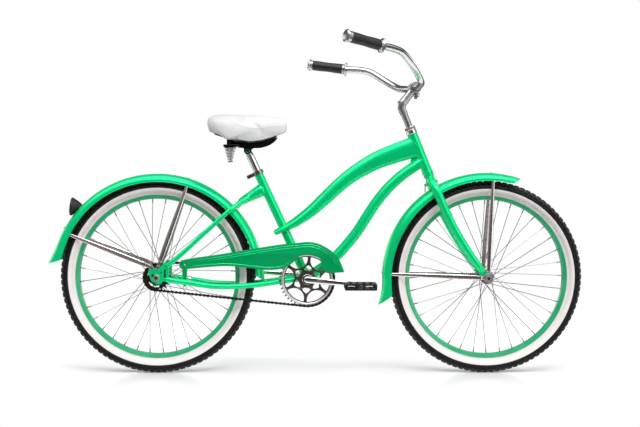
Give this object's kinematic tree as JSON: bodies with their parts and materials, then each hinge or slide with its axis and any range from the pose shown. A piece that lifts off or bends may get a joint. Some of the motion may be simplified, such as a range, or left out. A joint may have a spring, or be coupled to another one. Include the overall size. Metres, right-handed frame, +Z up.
{
  "type": "cruiser bicycle",
  "caption": "Step-through cruiser bicycle: curved frame, swept handlebar, sprung saddle, fenders, chainguard and coaster brake; steers, rolls and pedals.",
  "frame": {"origin": "the ground point under the rear axle, in the middle plane of the frame, where the rear tyre rests", "axes": "+X forward, +Y to the rider's left, +Z up"},
  "size_m": [1.7034, 0.7113, 1.0592],
  "materials": {
    "green_paint": "gloss mint green enamel",
    "rim_paint": "duller green enamel",
    "chrome": "polished plate",
    "dark_steel": "darkened, lightly oiled",
    "spoke_steel": "bright zinc plate",
    "tyre_rubber": "matt black with a pale sidewall band",
    "grip_rubber": "soft satin black",
    "black_plastic": "satin black",
    "black_metal": "satin black enamel",
    "white_vinyl": "smooth off-white vinyl cover",
    "red_lens": "clear red, faceted behind"
  },
  "bodies": {
    "frame": {"head_tube": "green_paint", "top_tube": "green_paint", "down_tube": "green_paint", "seat_tube": "green_paint", "bottom_bracket_shell": "green_paint", "seat_stays": "green_paint", "chainstay_right": "green_paint", "chainstay_left": "green_paint", "dropout_right": "green_paint", "dropout_left": "green_paint", "headset_upper_cup": "chrome", "headset_lower_cup": "green_paint", "seat_clamp": "dark_steel", "bottom_bracket_cup_right": "dark_steel", "bottom_bracket_cup_left": "dark_steel", "chainguard": "green_paint", "chain": "dark_steel", "rear_fender": "green_paint", "rear_upper_stay_right": "chrome", "rear_upper_stay_left": "chrome", "rear_lower_stay_right": "chrome", "rear_lower_stay_left": "chrome", "reflector_housing": "black_plastic", "reflector_lens": "red_lens", "rear_axle": "dark_steel", "brake_arm": "chrome"},
    "rear_wheel": {"rear_hub": "spoke_steel", "rear_rim": "rim_paint", "rear_tyre": "tyre_rubber"},
    "sprocket": {"rear_sprocket": "dark_steel"},
    "fork": {"fork": "green_paint", "headset_locknut": "chrome", "front_fender": "green_paint", "front_upper_stay_right": "chrome", "front_upper_stay_left": "chrome", "front_rear_stay_right": "chrome", "front_rear_stay_left": "chrome", "front_axle": "dark_steel"},
    "front_wheel": {"front_hub": "spoke_steel", "front_rim": "rim_paint", "front_tyre": "tyre_rubber"},
    "stem": {"stem": "chrome"},
    "handlebar": {"handlebar": "chrome", "grip_right": "grip_rubber", "grip_left": "grip_rubber", "grip_end_cap_right": "chrome", "grip_end_cap_left": "chrome", "grip_collar_right": "chrome", "grip_collar_left": "chrome"},
    "crank": {"crank": "chrome", "chainring": "chrome"},
    "pedal_right": {"pedal_right": "black_plastic"},
    "pedal_left": {"pedal_left": "black_plastic"},
    "seatpost": {"seatpost": "chrome"},
    "saddle": {"saddle_base": "black_metal", "saddle_cushion": "white_vinyl", "saddle_spring_right": "chrome", "saddle_spring_left": "chrome"}
  },
  "joints": [
    {"name": "rear_wheel_spin", "type": "hinge", "parent": "frame", "child": "rear_wheel", "pos_m": [0, 0, 0.30672], "axis": [0, 1, 0], "continuous": true},
    {"name": "crank_spin", "type": "hinge", "parent": "frame", "child": "crank", "pos_m": [0.4745, 0, 0.30122], "axis": [0, 1, 0], "continuous": true},
    {"name": "sprocket_spin", "type": "hinge", "parent": "frame", "child": "sprocket", "pos_m": [0, 0, 0.30672], "axis": [0, 1, 0], "continuous": true},
    {"name": "pedal_right_spin", "type": "hinge", "parent": "crank", "child": "pedal_right", "pos_m": [0.63932, -0.112, 0.28622], "axis": [0, 1, 0], "continuous": true},
    {"name": "pedal_left_spin", "type": "hinge", "parent": "crank", "child": "pedal_left", "pos_m": [0.30968, 0.112, 0.31622], "axis": [0, 1, 0], "continuous": true},
    {"name": "steering", "type": "hinge", "parent": "frame", "child": "fork", "pos_m": [0.85698, 0, 0.64522], "axis": [-0.3811, 0, 0.9245], "range_deg": [-65, 65]},
    {"name": "front_wheel_spin", "type": "hinge", "parent": "fork", "child": "front_wheel", "pos_m": [1.048, 0, 0.30672], "axis": [0, 1, 0], "continuous": true},
    {"name": "stem_turn", "type": "hinge", "parent": "fork", "child": "stem", "pos_m": [0.85698, 0, 0.64522], "axis": [-0.3811, 0, 0.9245], "range_deg": [-28.4, 11.6]},
    {"name": "bar_tilt", "type": "hinge", "parent": "stem", "child": "handlebar", "pos_m": [0.81549, 0.00921, 0.90956], "axis": [-0.1351, 0.9893, -0.0557], "range_deg": [-15, 15]},
    {"name": "seatpost_height", "type": "slide", "parent": "frame", "child": "seatpost", "axis": [-0.4231, 0, 0.9061], "range_m": [-0.03, 0.04]},
    {"name": "saddle_tilt", "type": "hinge", "parent": "seatpost", "child": "saddle", "pos_m": [0.28479, 0, 0.70751], "axis": [0, 1, 0], "range_deg": [-8, 8]}
  ],
  "couplings": [
    {"joint": "sprocket_spin", "follows": "crank_spin", "ratio": 2.1}
  ]
}
